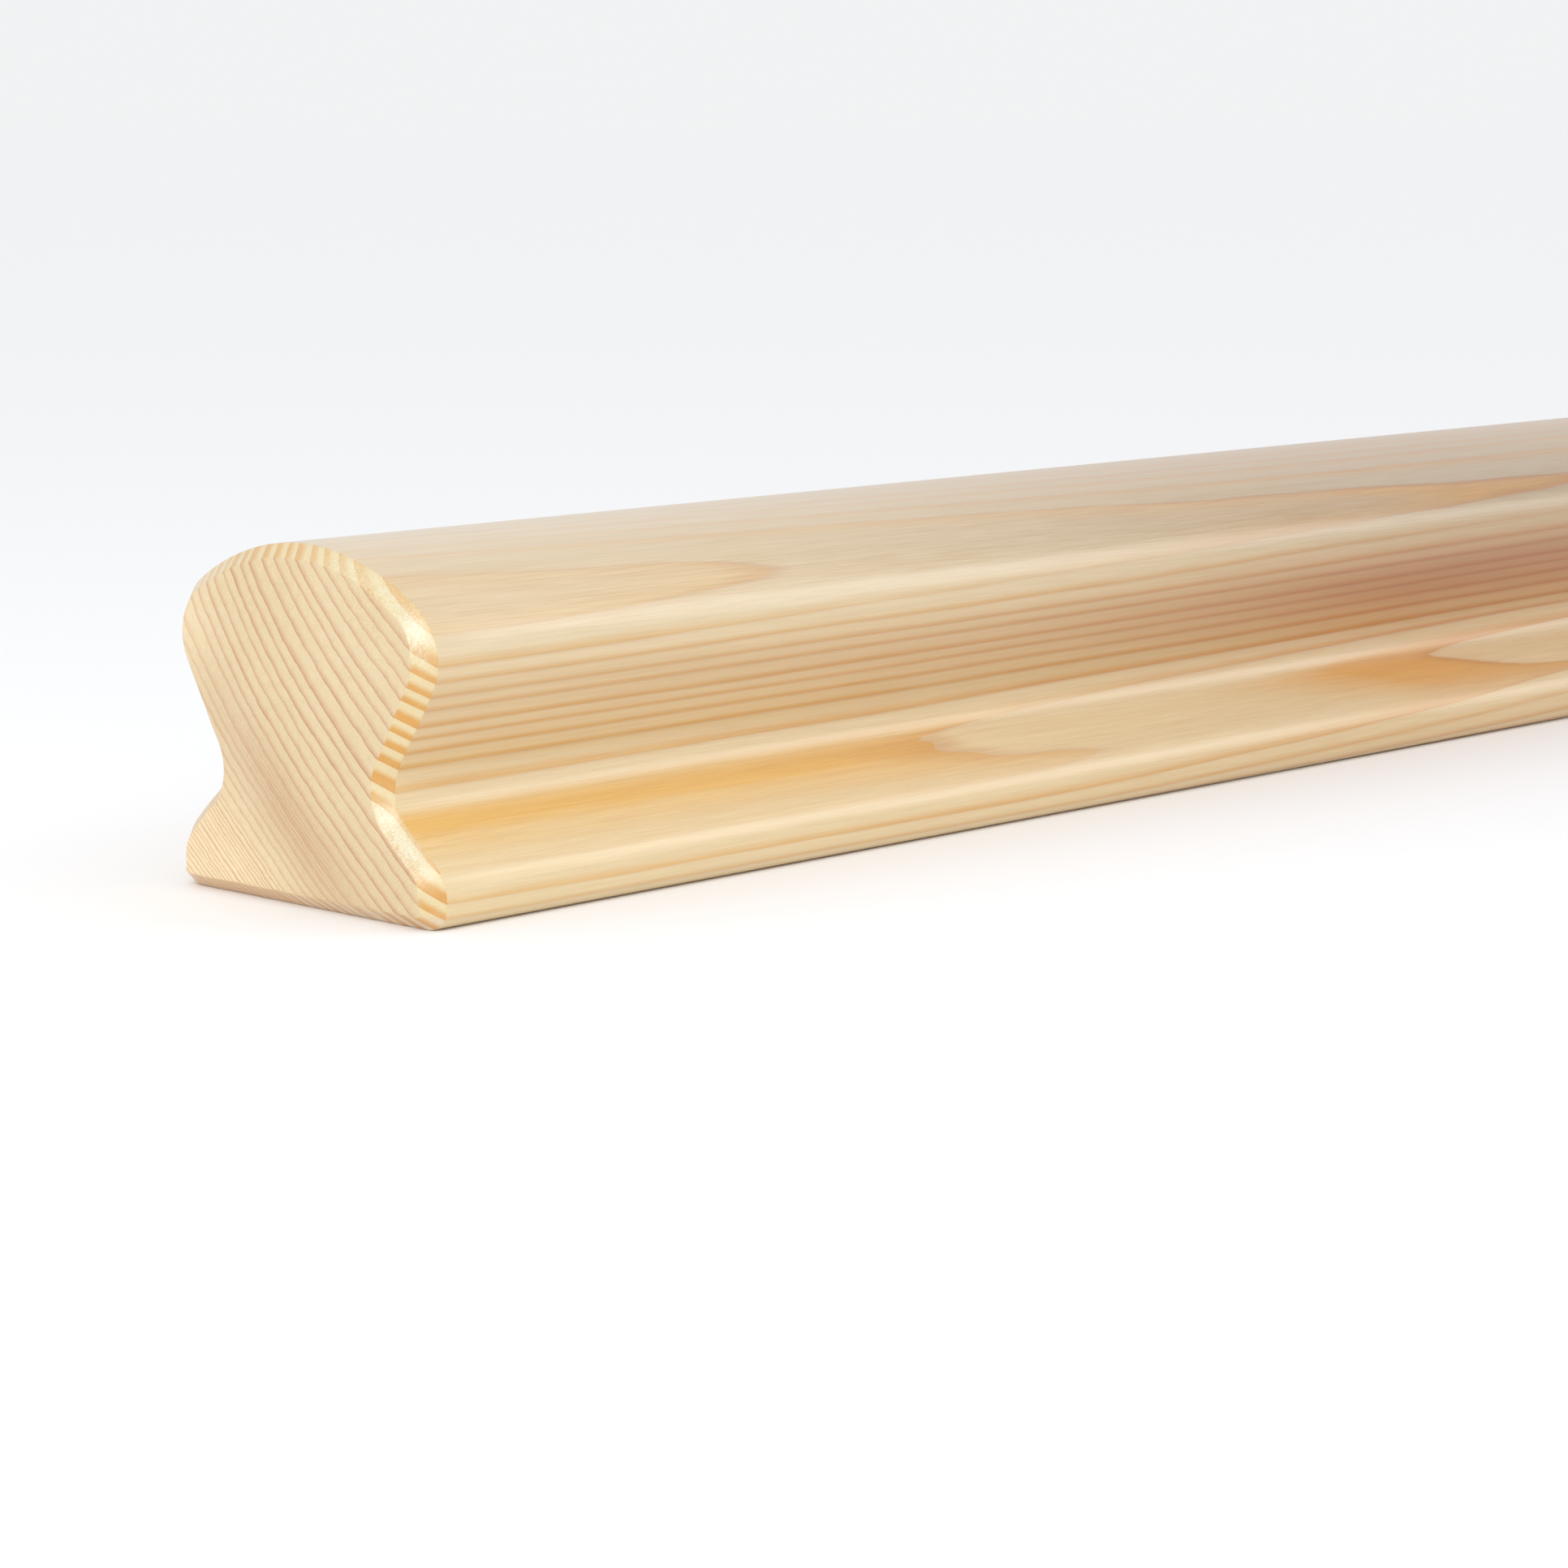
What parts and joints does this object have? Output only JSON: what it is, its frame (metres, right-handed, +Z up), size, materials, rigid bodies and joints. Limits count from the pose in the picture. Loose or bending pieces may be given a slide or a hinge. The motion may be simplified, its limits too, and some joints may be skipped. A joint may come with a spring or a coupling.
{
  "type": "stair handrail length",
  "caption": "Softwood stair handrail length with a broad rounded crown, a waisted neck, a coved foot with a flat underside, and chamfered ends.",
  "frame": {"origin": "middle of the flat underside, half way along the rail", "axes": "+X along the rail, +Y across it, +Z up from the flat underside to the crown"},
  "size_m": [1.5, 0.0556, 0.05],
  "materials": {
    "softwood": "planed and sanded softwood, unstained, with a satin sheen"
  },
  "bodies": {
    "root": {"handrail": "softwood"}
  },
  "joints": []
}
